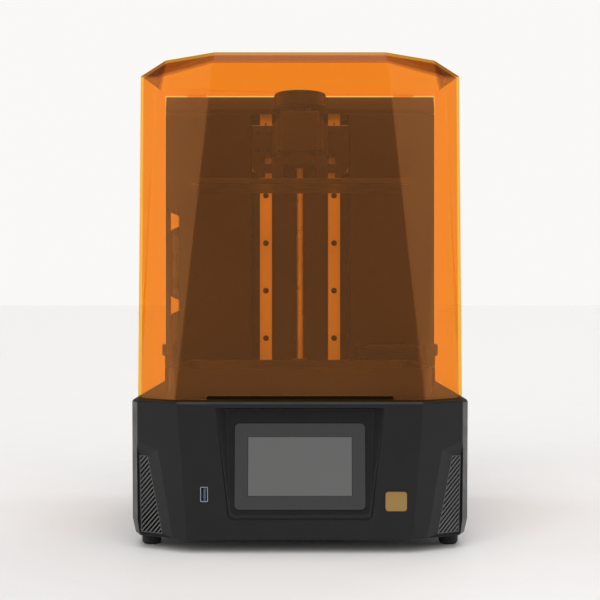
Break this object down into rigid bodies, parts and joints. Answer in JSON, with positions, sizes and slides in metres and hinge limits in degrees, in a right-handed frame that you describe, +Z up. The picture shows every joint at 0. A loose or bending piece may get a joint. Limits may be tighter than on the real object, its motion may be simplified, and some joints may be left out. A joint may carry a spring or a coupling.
{
  "type": "resin printer",
  "caption": "Desktop resin printer: black base with a leaning touch screen, vat and exposure panel on top, platform on a screw-driven rail lift, under a faceted flip-up orange hood.",
  "frame": {"origin": "centre of the machine's box on the surface it stands on", "axes": "+Z up, -Y towards the front with the touch screen, +X to the right as seen from the front"},
  "size_m": [0.353, 0.4094, 0.5215],
  "materials": {
    "black_plastic": "fine moulded texture, satin",
    "black_metal": "black powder coat",
    "tinted_cover": "polished see-through orange acrylic",
    "steel": "ground",
    "aluminium": "bead blasted and anodised",
    "rubber": "matt",
    "screen_border": "satin grey border under glass",
    "screen_glass": "dark glass, display off",
    "gold_plate": "brushed",
    "circuit_board": "solder mask",
    "brass": "machined",
    "clear_film": "clear",
    "white_diffuser": "milky",
    "blue_plastic": "moulded"
  },
  "bodies": {
    "frame": {"base_shell": "black_plastic", "screen_surround": "black_plastic", "corner_grille_left": "black_plastic", "corner_grille_right": "black_plastic", "side_grille_left": "black_plastic", "side_grille_right": "black_plastic", "rear_housing": "black_plastic", "housing_cap": "black_plastic", "fan_frame": "black_plastic", "power_inlet": "black_plastic", "bottom_plate": "black_metal", "deck_plate": "black_metal", "z_column": "black_metal", "rear_cover": "black_metal", "screw_bearing_top": "black_metal", "hinge_bracket_left": "black_metal", "hinge_bracket_right": "black_metal", "z_motor": "black_metal", "light_housing": "black_metal", "rail_left": "steel", "rail_right": "steel", "hinge_pin_left": "steel", "hinge_pin_right": "steel", "film_frame": "steel", "light_clip_upper": "steel", "light_clip_lower": "steel", "vat_body": "aluminium", "heat_sink": "aluminium", "power_supply": "aluminium", "foot_front_left": "rubber", "foot_front_right": "rubber", "foot_rear_left": "rubber", "foot_rear_right": "rubber", "screen_bezel": "screen_border", "touch_screen": "screen_glass", "lcd_panel": "screen_glass", "badge_plate": "gold_plate", "led_board": "circuit_board", "mainboard": "circuit_board", "release_film": "clear_film", "lens_plate": "clear_film", "light_bar": "white_diffuser", "usb_port": "blue_plastic"},
    "hood": {"hood_cover": "tinted_cover"},
    "carriage": {"rail_block_left": "steel", "rail_block_right": "steel", "carriage_plate": "black_metal", "lead_nut": "brass", "platform_arm": "black_metal", "platform_head": "black_metal", "platform_bracket": "black_metal", "build_plate": "aluminium"},
    "screw": {"lead_screw": "steel", "screw_coupling": "aluminium"},
    "platform_knob": {"platform_knob": "black_plastic"},
    "vat_knob_left": {"vat_knob_left": "black_plastic"},
    "vat_knob_right": {"vat_knob_right": "black_plastic"},
    "fan": {"fan_rotor": "black_plastic"},
    "rocker": {"power_rocker": "black_plastic"},
    "filter": {"air_filter": "black_plastic"}
  },
  "joints": [
    {"name": "hood_hinge", "type": "hinge", "parent": "frame", "child": "hood", "pos_m": [0, 0.1165, 0.507], "axis": [-1, 0, 0], "range_deg": [0, 80]},
    {"name": "lift_slide", "type": "slide", "parent": "frame", "child": "carriage", "axis": [0, 0, 1], "range_m": [-0.225, 0.008]},
    {"name": "screw_turn", "type": "hinge", "parent": "frame", "child": "screw", "pos_m": [0, 0.1185, 0.3], "axis": [0, 0, 1], "range_deg": [-400, 10200]},
    {"name": "platform_knob_turn", "type": "hinge", "parent": "carriage", "child": "platform_knob", "pos_m": [0, -0.0415, 0.48], "axis": [0, 0, 1], "range_deg": [0, 180]},
    {"name": "vat_knob_left_turn", "type": "hinge", "parent": "frame", "child": "vat_knob_left", "pos_m": [-0.147, -0.0475, 0.2], "axis": [0, 0, 1], "range_deg": [0, 720]},
    {"name": "vat_knob_right_turn", "type": "hinge", "parent": "frame", "child": "vat_knob_right", "pos_m": [0.147, -0.0475, 0.2], "axis": [0, 0, 1], "range_deg": [0, 720]},
    {"name": "fan_spin", "type": "hinge", "parent": "frame", "child": "fan", "pos_m": [0.095, 0.191, 0.06], "axis": [0, 1, 0], "continuous": true},
    {"name": "rocker_tilt", "type": "hinge", "parent": "frame", "child": "rocker", "pos_m": [-0.1235, 0.2005, 0.059], "axis": [-1, 0, 0], "range_deg": [0, 16]},
    {"name": "filter_lift", "type": "slide", "parent": "frame", "child": "filter", "axis": [0, 0, 1], "range_m": [0, 0.12]}
  ],
  "couplings": [
    {"joint": "screw_turn", "follows": "lift_slide", "rad_per_m": -785.4}
  ]
}
